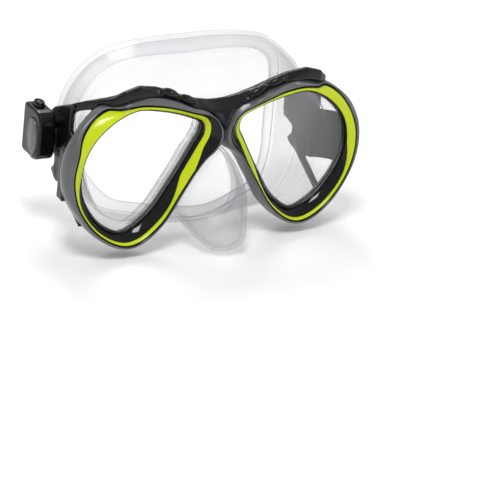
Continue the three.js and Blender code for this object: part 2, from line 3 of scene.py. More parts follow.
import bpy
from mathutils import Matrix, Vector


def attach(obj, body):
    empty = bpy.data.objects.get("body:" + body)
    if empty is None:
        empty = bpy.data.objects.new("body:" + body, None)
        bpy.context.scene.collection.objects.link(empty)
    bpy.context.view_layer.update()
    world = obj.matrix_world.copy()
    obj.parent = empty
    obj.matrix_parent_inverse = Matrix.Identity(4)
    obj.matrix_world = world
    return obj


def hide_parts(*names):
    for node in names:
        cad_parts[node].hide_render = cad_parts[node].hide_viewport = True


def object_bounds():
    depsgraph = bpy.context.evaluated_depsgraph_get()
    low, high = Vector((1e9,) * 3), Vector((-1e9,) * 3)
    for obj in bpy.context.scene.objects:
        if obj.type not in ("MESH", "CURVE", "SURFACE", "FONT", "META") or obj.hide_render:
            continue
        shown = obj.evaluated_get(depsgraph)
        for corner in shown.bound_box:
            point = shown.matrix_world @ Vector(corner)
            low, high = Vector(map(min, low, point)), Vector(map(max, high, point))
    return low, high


bl_info = {
    "name": "Diving mask",
    "version": (1, 0, 0),
    "blender": (4, 5, 0),
    "location": "View3D > Sidebar > Mask",
    "description": "Builds the visible pieces and finishes of a two-lens diving mask",
    "category": "Object",
}

import math

import bpy
import numpy as np
from mathutils import Matrix, Vector

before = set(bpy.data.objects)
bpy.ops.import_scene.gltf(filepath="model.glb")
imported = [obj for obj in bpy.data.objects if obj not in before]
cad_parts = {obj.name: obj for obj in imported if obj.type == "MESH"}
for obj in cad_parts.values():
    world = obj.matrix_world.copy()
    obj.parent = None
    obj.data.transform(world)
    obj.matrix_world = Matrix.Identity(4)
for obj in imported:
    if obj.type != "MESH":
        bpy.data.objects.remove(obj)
CAD_BOX = [list(corner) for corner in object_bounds()]

MM = 0.001
SIDES = (("right", -1.0), ("left", 1.0))
GAP = 0.3

# ---- the mask's own tables, in millimetres ---------------------------------------------
LENS_CENTRE = 37.0
LENS_FRONT = 2.6
LENS_BACK = 5.8
LENS_OVERLAP = 1.4
TRIM_THICKNESS = 1.1
TRIM_SEAT = 2.2
SKIRT_WALL = 1.6
SKIRT_TUBE = 1.5
INSERT_PLAY = 0.12
SHELF_THICKNESS = 1.4
SHELF_PLAY = 0.45
PLASTIC_SHINE = 0.3
OPENING = np.array([
    [73.5, -9.5], [70, 4], [60.5, 14.4], [47.5, 20.3], [33, 18.8], [17.5, 14.2], [11.2, 10.9],
    [10, 6], [13.6, -1.2], [24.2, -19.2], [34.5, -33.6], [47.5, -41.6], [60.5, -36], [71.2, -21.8],
])
# angle, trim edge, trim depth, insert edge, insert start, bezel wall, bezel wall depth
RIM = np.array([
    [0, 4.9, -1.2, 4.9, 0.4, 8.8, 3.0], [12, 5.9, 2.6, 5.9, 0.4, 8.4, 3.8],
    [24, 6.1, 4.6, 6.1, 0.4, 7.7, 5.6], [38, 5.0, 5.6, 5.0, 0.4, 6.7, 7.6],
    [48, 2.7, 3.0, 2.7, 0.4, 5.5, 8.4], [58, 2.1, 1.0, 2.1, 0.4, 5.5, 6.2],
    [76, 1.9, 0.5, 1.9, 0.4, 5.6, 1.8], [99, 2.2, 0.0, 2.2, 0.4, 6.1, -0.8],
    [122, 2.5, -1.6, 2.5, 0.4, 5.4, -1.8], [142, 2.6, -2.0, 2.5, 0.4, 4.4, -0.6],
    [152, 3.4, -2.8, 2.7, 0.4, 5.0, 0.8], [160, 5.6, -4.2, 3.0, 0.4, 7.0, 3.0],
    [168, 7.2, -4.8, 3.0, 0.4, 11.0, 4.0], [177, 6.8, -4.8, 3.0, 0.4, 10.0, 4.0],
    [190, 5.0, -4.6, 3.4, 0.4, 7.0, 4.0], [208, 4.3, -4.3, 4.0, 0.4, 5.9, 4.0],
    [222, 4.2, -4.2, 4.2, 0.6, 5.8, 4.0], [248, 4.2, -4.6, 4.2, 2.7, 5.8, 3.0],
    [272, 4.5, -5.6, 4.5, 3.0, 6.6, 0.6], [290, 4.1, -5.4, 4.1, 2.7, 6.4, 0.0],
    [306, 4.2, -4.2, 4.2, 2.8, 6.0, 0.0], [324, 4.4, -2.8, 4.4, 2.8, 6.4, 0.6],
    [336, 4.4, -2.2, 4.4, 1.6, 7.6, 1.6], [346, 4.7, -1.8, 4.7, 0.4, 8.4, 2.4],
])
SKIRT_FRONT = np.array([
    [0, 10, 16.0], [18, 10.2, 16.4], [34, 10.8, 19.6], [47, 12.2, 19.8], [58, 14.0, 13.4],
    [67.0, 12.4, 4.0], [69.0, 11.0, -9], [66.2, 10.4, -20], [57.6, 10, -34.0], [46.6, 10, -40.6],
    [30, 10, -41.6], [12, 10, -42.6], [0, 10, -43],
])
SKIRT_RIM = np.array([
    [0, 44.5, 39.0], [18, 44, 39.0], [34, 43, 37.8], [46, 42.8, 34.8], [55.5, 44, 27.6],
    [61.4, 47.0, 15], [62.6, 49.5, 2], [61.4, 47, -14], [57.2, 41, -30], [47, 33, -41.6],
    [31, 26, -45], [13, 19, -47], [0, 17, -47.6],
])
NOSE = np.array([
    [13, 1.0, -45.0, 16.4], [7.2, -2.6, -45.8, 16.8], [2, -2.8, -46.8, 17.0],
    [-3.4, -4.0, -48.6, 15.6], [-7.5, -9.0, -50.6, 13.6], [-11, -15.4, -51.6, 11.6],
    [-14.5, -22.6, -51.0, 9.8], [-17.5, -29.0, -49.0, 7.6], [-19.6, -34.4, -45.8, 4.6],
])
PIVOT = np.array([68.2, 39.5, -4.4])
WING_TILT = math.radians(4)
BUCKLE_OUTER = 10.8
BUCKLE_LOW, BUCKLE_HIGH = -10.6, 13.8
BUTTON_CENTRE, BUTTON_HALF = (-6.3, 4.9), (2.5, 3.6)
COVER_HALF = (5.6, 9.6)
ROLLER = (-7.0, 10.4)
ROLLER_RADIUS, ROLLER_BORE, ROLLER_RIBS = 1.4, 0.76, 12
BUTTON_PROUD, BUTTON_DEPTH = 2.3, 4.2


# ---- curves and grids, as whole arrays -------------------------------------------------
def catmull(points, t):
    """A closed centripetal Catmull-Rom curve through the points: between two points it is the
    cubic whose slopes there follow from the square roots of the distances to the neighbours.
    t runs from 0 to 1 and counts points, not length."""
    count = len(points)
    at = (np.asarray(t) % 1.0) * count
    step = np.minimum(at.astype(int), count - 1)
    part = (at - step)[:, None]
    p0, p1, p2, p3 = (points[(step + shift) % count] for shift in (-1, 0, 1, 2))
    span = [np.maximum(np.linalg.norm(b - a, axis=1, keepdims=True) ** 0.5, 1e-6)
            for a, b in ((p0, p1), (p1, p2), (p2, p3))]
    leave = (p1 - p0) / span[0] - (p2 - p0) / (span[0] + span[1]) + (p2 - p1) / span[1]
    arrive = (p2 - p1) / span[1] - (p3 - p1) / (span[1] + span[2]) + (p3 - p2) / span[2]
    leave, arrive = leave * span[1], arrive * span[1]
    bend = 3 * (p2 - p1) - 2 * leave - arrive
    twist = 2 * (p1 - p2) + leave + arrive
    return p1 + leave * part + bend * part ** 2 + twist * part ** 3


def even_curve(points, count):
    """Points spaced evenly along the closed curve, and the unit direction along it at each."""
    fine = catmull(points, np.linspace(0, 1, 6001)[:-1])
    loop = np.vstack([fine, fine[:1]])
    run = np.concatenate([[0], np.cumsum(np.linalg.norm(np.diff(loop, axis=0), axis=1))])
    want = np.linspace(0, run[-1], count, endpoint=False)
    place = np.stack([np.interp(want, run, loop[:, k]) for k in range(loop.shape[1])], axis=1)
    along = np.roll(place, -1, axis=0) - np.roll(place, 1, axis=0)
    return place, along / np.linalg.norm(along, axis=1, keepdims=True)


def rim_at(angle):
    """Reads the rim table at each angle by the cubic through the two rows on either side."""
    count = len(RIM)
    after = np.searchsorted(RIM[:, 0], angle, side="right")
    rows = []
    for shift in (-2, -1, 0, 1):
        index = after + shift
        row = RIM[index % count].copy()
        row[:, 0] += 360.0 * np.floor_divide(index, count)
        rows.append(row)
    a, b, c, d = rows
    part = ((angle - b[:, 0]) / (c[:, 0] - b[:, 0]))[:, None]
    width = (c[:, :1] - b[:, :1])
    leave = (c - a) / (c[:, :1] - a[:, :1]) * width
    arrive = (d - b) / (d[:, :1] - b[:, :1]) * width
    value = ((2 * b - 2 * c + leave + arrive) * part ** 3
             + (3 * c - 3 * b - 2 * leave - arrive) * part ** 2 + leave * part + b)
    edge, depth, insert_edge, insert_start, wall, wall_depth = value[:, 1:].T
    return {
        "edge": edge, "depth": depth,
        "insert_edge": np.minimum(insert_edge, edge - 0.35),
        "insert_start": np.maximum(insert_start, 0.35),
        "wall": np.maximum(wall, edge + 1.2), "wall_depth": wall_depth,
    }


STATIONS = 360
PLACE, ALONG = even_curve(OPENING, STATIONS)
OUT = np.stack([ALONG[:, 1], -ALONG[:, 0]], axis=1)
ANGLE = np.degrees(np.arctan2(PLACE[:, 1], PLACE[:, 0] - LENS_CENTRE)) % 360
RIM_HERE = rim_at(ANGLE)


def face_depth(offset):
    """The trim's sculpted face: its rim depth times a power of the offset over the edge."""
    power = np.where(RIM_HERE["depth"] > 0, 2.0, 1.3)
    share = np.maximum(offset, 0) / RIM_HERE["edge"]
    return RIM_HERE["depth"] * share ** power


def seat_depth(offset):
    """The retainer's back: the face's depth plus the seat, never in front of the lens."""
    return np.maximum(LENS_FRONT - GAP, face_depth(offset) + TRIM_SEAT)


def wall_back():
    """Where the bezel's wall ends: behind the lens, the wall's front and the trim's depth."""
    return np.maximum.reduce([np.full(STATIONS, 6.9), RIM_HERE["wall_depth"] + 1.6,
                              RIM_HERE["depth"] + 4.6])


def ring_points(section):
    """Carries a section of (offset, depth) pairs round the lens opening: each pair becomes the
    opening's point moved outwards by the offset, at that depth."""
    rows = []
    for offset, depth in section:
        offset = np.broadcast_to(np.asarray(offset, float), (STATIONS,))
        depth = np.broadcast_to(np.asarray(depth, float), (STATIONS,))
        rows.append(np.stack([PLACE[:, 0] + OUT[:, 0] * offset, depth,
                              PLACE[:, 1] + OUT[:, 1] * offset], axis=1))
    return np.stack(rows, axis=1)


def grid_faces(rows, columns, close_rows, close_columns):
    """Quads between neighbouring points of a grid, wrapping round where it is closed."""
    row = np.arange(rows if close_rows else rows - 1)
    column = np.arange(columns if close_columns else columns - 1)
    r, c = np.meshgrid(row, column, indexing="ij")
    r2, c2 = (r + 1) % rows, (c + 1) % columns
    corners = [r * columns + c, r2 * columns + c, r2 * columns + c2, r * columns + c2]
    return np.stack([k.ravel() for k in corners], axis=1)


def capped(points):
    """A tube of rings closed at both ends by a fan to each end ring's middle."""
    rows, columns = points.shape[:2]
    faces = grid_faces(rows, columns, False, True)
    vertices = points.reshape(-1, 3)
    side = np.arange(columns)
    after = (side + 1) % columns
    tip = len(vertices)
    first = np.stack([np.full(columns, tip), side, after], axis=1)
    base = (rows - 1) * columns
    last = np.stack([np.full(columns, tip + 1), base + after, base + side], axis=1)
    ends = np.stack([points[0].mean(axis=0), points[-1].mean(axis=0)])
    return np.vstack([vertices, ends]), [*faces.tolist(), *first.tolist(), *last.tolist()]


def looped(points):
    """A ring of rings, closed both ways."""
    rows, columns = points.shape[:2]
    return points.reshape(-1, 3), grid_faces(rows, columns, True, True).tolist()


def facing_out(vertices, faces):
    """Turns every face round if the closed surface's volume comes out negative."""
    volume = 0.0
    for size in (3, 4):
        group = np.array([f for f in faces if len(f) == size])
        if len(group) == 0:
            continue
        corner = vertices[group]
        for k in range(1, size - 1):
            volume += np.einsum("ij,ij->i", corner[:, 0],
                                np.cross(corner[:, k], corner[:, k + 1])).sum()
    return faces if volume > 0 else [f[::-1] for f in faces]


def as_mesh(name, shells):
    """One mesh from closed shells of (vertices in millimetres, faces)."""
    all_vertices, all_faces, start = [], [], 0
    for vertices, faces in shells:
        faces = facing_out(vertices, faces)
        all_vertices.append(vertices * MM)
        all_faces.extend([[start + k for k in f] for f in faces])
        start += len(vertices)
    mesh = bpy.data.meshes.new(name)
    mesh.from_pydata(np.vstack(all_vertices).tolist(), [], all_faces)
    mesh.validate()
    mesh.update()
    return mesh


def other_side(points, way):
    """The points of the wearer's left side as they are, or mirrored for the right."""
    return points * np.array([way, 1.0, 1.0])


def as_object(name, mesh):
    """An object at the origin that holds the mesh, linked to the scene."""
    thing = bpy.data.objects.new(name, mesh)
    bpy.context.scene.collection.objects.link(thing)
    return thing


def rounded(thing, width, angle=35, segments=2):
    """Softens the sharp edges and shades the rest smooth."""
    bevel = thing.modifiers.new("edges", "BEVEL")
    bevel.width = width * MM
    bevel.segments = segments
    bevel.limit_method = "ANGLE"
    bevel.angle_limit = math.radians(angle)
    smooth(thing)


def smooth(thing):
    """Shades every face smooth."""
    thing.data.polygons.foreach_set("use_smooth", np.ones(len(thing.data.polygons), bool))
    thing.data.update()


def settled(thing):
    """The object's mesh with its modifiers worked in, and the modifiers dropped."""
    graph = bpy.context.evaluated_depsgraph_get()
    graph.update()
    mesh = bpy.data.meshes.new_from_object(thing.evaluated_get(graph), depsgraph=graph)
    old = thing.data
    thing.modifiers.clear()
    thing.data = mesh
    bpy.data.meshes.remove(old)
    return thing


def combined(base, others, operation):
    """Joins or cuts closed meshes and throws the tools away."""
    for tool in others:
        cut = base.modifiers.new("shape", "BOOLEAN")
        cut.operation = operation
        cut.solver = "MANIFOLD"
        cut.object = tool
    settled(base)
    for tool in others:
        mesh = tool.data
        bpy.data.objects.remove(tool)
        bpy.data.meshes.remove(mesh)
    return base


def softened(node, name, voxel, rounds):
    """A copy of a CAD node with its edges rounded: welded, wrapped in an even skin of small
    quads, then relaxed."""
    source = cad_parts[node]
    thing = as_object(name, source.data.copy())
    thing.data.materials.clear()
    weld = thing.modifiers.new("weld", "WELD")
    weld.merge_threshold = 1e-6
    settled(thing)
    remesh = thing.modifiers.new("skin", "REMESH")
    remesh.mode = "VOXEL"
    remesh.voxel_size = voxel * MM
    relax = thing.modifiers.new("relax", "SMOOTH")
    relax.factor = 0.5
    relax.iterations = rounds
    settled(thing)
    smooth(thing)
    return thing


def finish_piece(thing, body, material, slot, *nodes):
    """Gives the piece its finish and its body, and hides the nodes it stands for. The slot argument is
    not used.
    """
    thing.data.materials.clear()
    thing.data.materials.append(material)
    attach(thing, body)
    if nodes:
        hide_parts(*nodes)


# ---- shader maths ----------------------------------------------------------------------
class Value:
    """A socket that takes part in sums written as ordinary Python."""

    def __init__(self, maker, socket):
        self.maker = maker
        self.socket = socket

    def _with(self, operation, first, second):
        return self.maker.add("ShaderNodeMath", {"operation": operation},
                              {0: first, 1: second}).out(0)

    def __add__(self, other):
        return self._with("ADD", self, other)

    def __radd__(self, other):
        return self._with("ADD", other, self)

    def __sub__(self, other):
        return self._with("SUBTRACT", self, other)

    def __rsub__(self, other):
        return self._with("SUBTRACT", other, self)

    def __mul__(self, other):
        return self._with("MULTIPLY", self, other)

    def __rmul__(self, other):
        return self._with("MULTIPLY", other, self)

    def __pow__(self, other):
        return self._with("POWER", self, other)


class Added:
    """A node just made, which hands out its sockets as values."""

    def __init__(self, maker, node):
        self.maker = maker
        self.node = node

    def out(self, key):
        return Value(self.maker, self.node.outputs[key])


class Finish:
    """A procedural material under construction."""

    def __init__(self, name):
        self.material = bpy.data.materials.new(name)
        self.material.use_nodes = True
        self.tree = self.material.node_tree
        self.tree.nodes.clear()

    def add(self, kind, settings=None, values=None):
        """Adds a node: its settings first, then a value or a link for each socket."""
        node = self.tree.nodes.new(kind)
        for key, setting in (settings or {}).items():
            setattr(node, key, setting)
        for key, value in (values or {}).items():
            if isinstance(value, Value):
                self.tree.links.new(value.socket, node.inputs[key])
            else:
                node.inputs[key].default_value = value
        return Added(self, node)

    def place(self):
        return self.add("ShaderNodeTexCoord").out("Object")

    def noise(self, scale, detail=3.0, roughness=0.5):
        return self.add("ShaderNodeTexNoise", {}, {
            "Vector": self.place(), "Scale": scale, "Detail": detail, "Roughness": roughness,
        }).out("Fac")

    def mixed(self, share, first, second):
        node = self.add("ShaderNodeMix", {"data_type": "RGBA"}, {0: share, 6: first, 7: second})
        return node.out(2)

    def bump(self, height, strength, distance):
        return self.add("ShaderNodeBump", {}, {
            "Height": height, "Strength": strength, "Distance": distance,
        }).out("Normal")

    def surface(self, shader):
        self.add("ShaderNodeOutputMaterial", {}, {"Surface": shader})
        return self.material


def opaque(colour, share=1.0):
    """The colour times the share, fully opaque."""
    return tuple(part * share for part in colour[:3]) + (1.0,)


def hard_plastic(name, colour, roughness, grain, coat=0.0, tint=0.12):
    """Moulded plastic: faint clouding in the colour, uneven gloss and a very fine grain."""
    make = Finish(name)
    cloud = make.noise(90.0, 4.0)
    speck = make.noise(2600.0, 2.0)
    base = make.mixed(cloud, opaque(colour, 1 - tint), opaque(colour))
    rough = (make.noise(420.0, 5.0, 0.6) - 0.5) * (roughness * 0.5) + roughness
    shader = make.add("ShaderNodeBsdfPrincipled", {}, {
        "Base Color": base, "Roughness": rough, "Specular IOR Level": PLASTIC_SHINE,
        "Coat Weight": coat, "Coat Roughness": 0.06,
        "Normal": make.bump(speck, grain, 0.00004),
    }).out("BSDF")
    return make.surface(shader)


def lacquer(name, colour, flake):
    """Metallic lacquer: fine bright flakes over a grey base, under a thin clear coat."""
    make = Finish(name)
    grain = make.add("ShaderNodeTexVoronoi", {"feature": "F1"},
                     {"Vector": make.place(), "Scale": 5200.0}).out("Distance")
    cloud = make.noise(60.0, 3.0)
    bright = opaque([min(1.0, part * flake) for part in colour[:3]])
    base = make.mixed(grain * 0.8 + cloud * 0.25, opaque(colour), bright)
    shader = make.add("ShaderNodeBsdfPrincipled", {}, {
        "Base Color": base, "Roughness": make.noise(300.0, 3.0) * 0.12 + 0.27,
        "Metallic": 0.25, "Coat Weight": 0.1, "Coat Roughness": 0.1,
        "Normal": make.bump(grain, 0.08, 0.00003),
    }).out("BSDF")
    return make.surface(shader)


def clear_silicone(name, tint, least, most):
    """Clear rubber: almost see-through face on, milky where the wall is seen edge on, with a
    soft sheen and faint mould marks."""
    make = Finish(name)
    edge_on = make.add("ShaderNodeLayerWeight", {}, {"Blend": 0.42}).out("Facing")
    cloud = make.noise(55.0, 3.0)
    alpha = edge_on ** 1.4 * (most - least) + least + (cloud - 0.5) * 0.05
    shade = make.mixed(edge_on ** 3.0, tint, opaque(tint, 0.8))
    shader = make.add("ShaderNodeBsdfPrincipled", {}, {
        "Base Color": shade, "Roughness": make.noise(200.0, 3.0) * 0.1 + 0.16,
        "IOR": 1.41, "Alpha": alpha, "Coat Weight": 0.2, "Coat Roughness": 0.08,
        "Normal": make.bump(make.noise(140.0, 2.0), 0.12, 0.0003),
    }).out("BSDF")
    return make.surface(shader)


def clear_glass(name, tint, least):
    """Tempered glass: clear face on, reflecting at a glance, with the faintest dust."""
    make = Finish(name)
    glance = make.add("ShaderNodeLayerWeight", {}, {"Blend": 0.25}).out("Fresnel")
    alpha = glance * 0.35 + least
    shader = make.add("ShaderNodeBsdfPrincipled", {}, {
        "Base Color": tint, "Roughness": make.noise(80.0, 3.0) * 0.02 + 0.015,
        "IOR": 1.5, "Alpha": alpha,
    }).out("BSDF")
    return make.surface(shader)


def brushed_steel(name, colour):
    """Stainless: noise stretched along one direction streaks the colour, gloss and grain."""
    make = Finish(name)
    streak = make.add("ShaderNodeTexNoise", {}, {
        "Vector": make.add("ShaderNodeMapping", {}, {
            "Vector": make.place(), "Scale": (1.0, 14.0, 14.0)}).out("Vector"),
        "Scale": 700.0, "Detail": 3.0}).out("Fac")
    shader = make.add("ShaderNodeBsdfPrincipled", {}, {
        "Base Color": make.mixed(streak, opaque(colour, 0.8), colour),
        "Roughness": streak * 0.15 + 0.25, "Metallic": 1.0,
        "Normal": make.bump(streak, 0.1, 0.00003),
    }).out("BSDF")
    return make.surface(shader)


def studio_floor(name, level):
    """A plain pale floor with the slightest unevenness in tone and gloss."""
    make = Finish(name)
    white = (level, level, level)
    tone = make.mixed(make.noise(6.0, 2.0), opaque(white), opaque(white, 0.985))
    shader = make.add("ShaderNodeBsdfPrincipled", {}, {
        "Base Color": tone, "Roughness": make.noise(40.0, 3.0) * 0.1 + 0.5,
    }).out("BSDF")
    return make.surface(shader)


FINISHES = {}


def finishes():
    """Makes each finish once, from the colours and the skirt's milkiness in the settings."""
    if not FINISHES:
        look = bpy.context.scene.mask_looks
        FINISHES.update({
            "satin": hard_plastic("black_satin_plastic", look.frame_colour, 0.24, 0.1),
            "gloss": hard_plastic("polished_black_plastic", look.trim_colour, 0.08, 0.02),
            "grey": lacquer("gunmetal_lacquer", look.bezel_colour, 1.5),
            "lime": hard_plastic("lime_gloss_plastic", look.lime_colour, 0.22, 0.04, 0.1,
                                 tint=0.16),
            "silicone": clear_silicone("clear_silicone_rubber", look.skirt_colour,
                                       look.skirt_least, look.skirt_most),
            "glass": clear_glass("tempered_glass_clear", look.glass_colour, 0.03),
            "steel": brushed_steel("brushed_stainless", (0.6, 0.6, 0.61, 1.0)),
        })
    return FINISHES


# ---- settings --------------------------------------------------------------------------
class MaskLooks(bpy.types.PropertyGroup):
    """Sizes and colours that a user would change."""

    frame_colour: bpy.props.FloatVectorProperty(
        name="Frame", description="Colour of the main frame and the buckles",
        subtype="COLOR", size=3, min=0, max=1, default=(0.004, 0.004, 0.0045))
    trim_colour: bpy.props.FloatVectorProperty(
        name="Retainer", description="Colour of the polished ring round each lens",
        subtype="COLOR", size=3, min=0, max=1, default=(0.002, 0.002, 0.0025))
    bezel_colour: bpy.props.FloatVectorProperty(
        name="Bezel", description="Colour of the metallic lacquer",
        subtype="COLOR", size=3, min=0, max=1, default=(0.085, 0.087, 0.092))
    lime_colour: bpy.props.FloatVectorProperty(
        name="Insert", description="Colour of the inserts in the lens trims",
        subtype="COLOR", size=3, min=0, max=1, default=(0.56, 0.68, 0.004))
    skirt_colour: bpy.props.FloatVectorProperty(
        name="Skirt", description="Tint of the silicone",
        subtype="COLOR", size=4, min=0, max=1, default=(0.5, 0.5, 0.53, 1.0))
    glass_colour: bpy.props.FloatVectorProperty(
        name="Glass", description="Tint of the lenses",
        subtype="COLOR", size=4, min=0, max=1, default=(0.97, 0.98, 0.98, 1.0))
    skirt_least: bpy.props.FloatProperty(
        name="Skirt, face on", description="How milky the silicone is seen straight on",
        default=0.09, min=0, max=1, subtype="FACTOR")
    skirt_most: bpy.props.FloatProperty(
        name="Skirt, edge on", description="How milky the silicone is seen along its wall",
        default=0.6, min=0, max=1, subtype="FACTOR")
    frame_voxel: bpy.props.FloatProperty(
        name="Frame detail", description="Size of the quads on the main frame, in millimetres",
        default=0.6, min=0.3, max=2)
    edge_width: bpy.props.FloatProperty(
        name="Edge radius", description="Rounding of the trims' edges, in millimetres",
        default=0.22, min=0.02, max=1)


# ---- pieces ----------------------------------------------------------------------------
def disc_rows(offset, front, back, rows=3):
    """A plug of the opening's outline, from the front depth to the back depth."""
    share = np.linspace(0, 1, rows)
    back = np.broadcast_to(np.asarray(back, float), (STATIONS,))
    section = [(offset, front + (back - front) * part) for part in share]
    return ring_points(section).transpose(1, 0, 2)


def retainer_section():
    """The retainer's outline: lip over the lens, face with a channel for the insert, outer
    edge and seat."""
    edge, depth = RIM_HERE["edge"], RIM_HERE["depth"]
    start, end = RIM_HERE["insert_start"], RIM_HERE["insert_edge"]
    floor = TRIM_THICKNESS + GAP
    middle = (start + end) / 2
    return [
        (-0.9, 2.3), (-0.9, 1.9), (-0.45, 0.9), (0, 0.1), (start, face_depth(start)),
        (start, face_depth(start) + floor), (middle, face_depth(middle) + floor),
        (end, face_depth(end) + floor), (end, face_depth(end)),
        ((end + edge) / 2, face_depth((end + edge) / 2) - 0.06), (edge, depth),
        (edge, seat_depth(edge)), (LENS_OVERLAP + GAP, seat_depth(LENS_OVERLAP + GAP)),
        (LENS_OVERLAP + GAP - 0.05, 2.3),
    ]


def insert_section():
    """The lime insert's outline: a gently crowned face, its back parallel to it."""
    start = RIM_HERE["insert_start"] + INSERT_PLAY
    end = RIM_HERE["insert_edge"] - INSERT_PLAY
    shares = np.linspace(0, 1, 9)
    across = [start + (end - start) * k for k in shares]
    crown = [0.32 * math.sin(math.pi * k) ** 0.6 for k in shares]
    front = [(o, face_depth(o) - 0.05 - c) for o, c in zip(across, crown)]
    back = [(o, face_depth(o) + TRIM_THICKNESS - 0.1) for o in (across[8], across[4], across[0])]
    return front + back


def bezel_section():
    """The bezel's outline: inner lip, sloping face that swells in its middle, outer wall and
    the shelf behind the retainer."""
    edge, depth = RIM_HERE["edge"], RIM_HERE["depth"]
    wall, wall_depth = RIM_HERE["wall"], RIM_HERE["wall_depth"]
    lip = edge + GAP
    shelf_inner = LENS_OVERLAP + 2 * GAP
    shelf_depth = seat_depth(shelf_inner) + SHELF_PLAY
    lip_shelf = seat_depth(lip) + SHELF_PLAY
    back = wall_back()
    start, end = (lip + 0.5, depth - 0.15), (wall, wall_depth)
    face = []
    for part in np.linspace(0, 1, 7):
        offset = start[0] + (end[0] - start[0]) * part ** 0.8
        sink = start[1] + (end[1] - start[1]) * part ** 1.7
        face.append((offset, sink))
    return [
        (lip, depth + 0.15), *face, (wall + 0.02, wall_depth + (back - wall_depth) * 0.5),
        (wall - 0.3, back), (lip + 0.2, back),
        (lip, np.minimum(lip_shelf + SHELF_THICKNESS, back - 0.2)),
        (shelf_inner, shelf_depth + SHELF_THICKNESS),
        (shelf_inner, shelf_depth), (lip, lip_shelf),
    ]


def skirt_body(inset, front_shift=0.0, steps=200, rows=60):
    """The skirt's body: each line from the frame to the rim is a quadratic curve that turns
    early, drawn inwards by the inset, with a moulded rib and a step across it."""
    loop = []
    for table in (SKIRT_FRONT, SKIRT_RIM):
        mirror = table[1:-1][::-1] * np.array([-1.0, 1.0, 1.0])
        loop.append(catmull(np.vstack([table, mirror]), np.arange(steps) / steps))
    start, end = loop
    bend = start + (end - start) * 0.9
    bend[:, 1] = start[:, 1] + (end[:, 1] - start[:, 1]) * 0.15
    along = np.linspace(0, 1, rows)[:, None, None]
    place = start * (1 - along) ** 2 + bend * 2 * along * (1 - along) + end * along ** 2
    inwards = np.stack([-place[..., 0], np.zeros(place.shape[:2]), -6 - place[..., 2]], axis=-1)
    inwards /= np.linalg.norm(inwards, axis=-1, keepdims=True)
    if inset == 0:
        rib = -0.55 * np.exp(-((along - 0.6) / 0.02) ** 2)
        rib = rib + 0.5 / (1 + np.exp((along - 0.6) / 0.012))
        place = place + inwards * rib * np.clip(along * 6, 0, 1)
        return place
    place = place + inwards * inset
    least = start[:, 1] + (1.0 + along[..., 0]) * inset
    place[..., 1] = np.maximum(place[..., 1], least)
    place[0, :, 1] += front_shift
    beyond = place[-1:] + np.array([0, 14.0, 0])
    return np.concatenate([place, beyond])


def skirt_lip(steps=200):
    """The soft lip that rolls inwards from the rim: a thin tongue carried round the rim, its
    middle line a quarter turn that ends pointing at the face's middle."""
    mirror = SKIRT_RIM[1:-1][::-1] * np.array([-1.0, 1.0, 1.0])
    rim = catmull(np.vstack([SKIRT_RIM, mirror]), np.arange(steps) / steps)
    inwards = np.stack([-rim[:, 0], np.zeros(steps), -6 - rim[:, 2]], axis=1)
    inwards /= np.linalg.norm(inwards, axis=1, keepdims=True)
    back = np.array([0.0, 1.0, 0.0])
    turn = np.linspace(0, 1, 9)
    reach = 8.5 * np.sin(turn * math.pi / 2) + 0.5
    rise = -2.6 + 2.2 * np.sin(turn * math.pi) - 2.0 * turn
    thick = 0.7 * (1 - 0.55 * turn)
    front = [rim + inwards * r + back * (s - t) for r, s, t in zip(reach, rise, thick)]
    rear = [rim + inwards * r + back * (s + t) for r, s, t in zip(reach, rise, thick)]
    return np.stack([*front, *rear[::-1]], axis=1)


def nose_pocket(inset, rows=56, sides=96):
    """The nose pocket: ovals from the face to the tip that narrow towards their tops, on a
    smooth curve through the table's rows, with a soft keel down the front."""
    at = np.linspace(0, len(NOSE) - 1, rows)
    here = np.clip(at.astype(int), 0, len(NOSE) - 2)
    part = (at - here)[:, None]
    before, after = NOSE[np.maximum(here - 1, 0)], NOSE[np.minimum(here + 2, len(NOSE) - 1)]
    a, b = NOSE[here], NOSE[here + 1]
    leave, arrive = (b - before) / 2, (after - a) / 2
    row = (a + leave * part + (3 * (b - a) - 2 * leave - arrive) * part ** 2
           + (2 * (a - b) + leave + arrive) * part ** 3)
    depth, top, bottom, width = row.T
    angle = np.linspace(0, 2 * math.pi, sides, endpoint=False)[None, :]
    half = ((top - bottom) / 2 - inset)[:, None]
    taper = 1 - 0.52 * np.cos(angle)
    across = np.maximum(width - inset, 0.6)[:, None] * np.sin(angle) * taper
    y = np.broadcast_to((depth + inset * 0.6)[:, None], across.shape).copy()
    y[-1] += inset * 0.4
    keel = 0.5 * np.exp(-(across / 1.1) ** 2) * (np.cos(angle) > 0)
    z = ((top + bottom) / 2)[:, None] + half * np.cos(angle) + keel
    if inset == 0:
        shrink = np.linspace(1, 0.12, 7)[1:] ** 0.6
        last = np.stack([across[-1], y[-1], z[-1]], axis=1)
        middle = last.mean(axis=0)
        rounds = [middle + (last - middle) * s + np.array([0, -1.1 * (1 - s ** 2) ** 0.5, 0])
                  for s in shrink]
        body = np.stack([across, y, z], axis=-1)
        return np.concatenate([body, np.stack(rounds)])
    return np.stack([across, y, z], axis=-1)


def in_mask(points, way):
    """Takes points from the right buckle's own place into the mask's frame, and mirrors them
    for the left side."""
    cosine, sine = math.cos(WING_TILT), math.sin(WING_TILT)
    x = -PIVOT[0] + cosine * points[..., 0] + sine * points[..., 1]
    y = PIVOT[1] - sine * points[..., 0] + cosine * points[..., 1]
    z = PIVOT[2] + points[..., 2]
    return np.stack([-x * way, y, z], axis=-1)


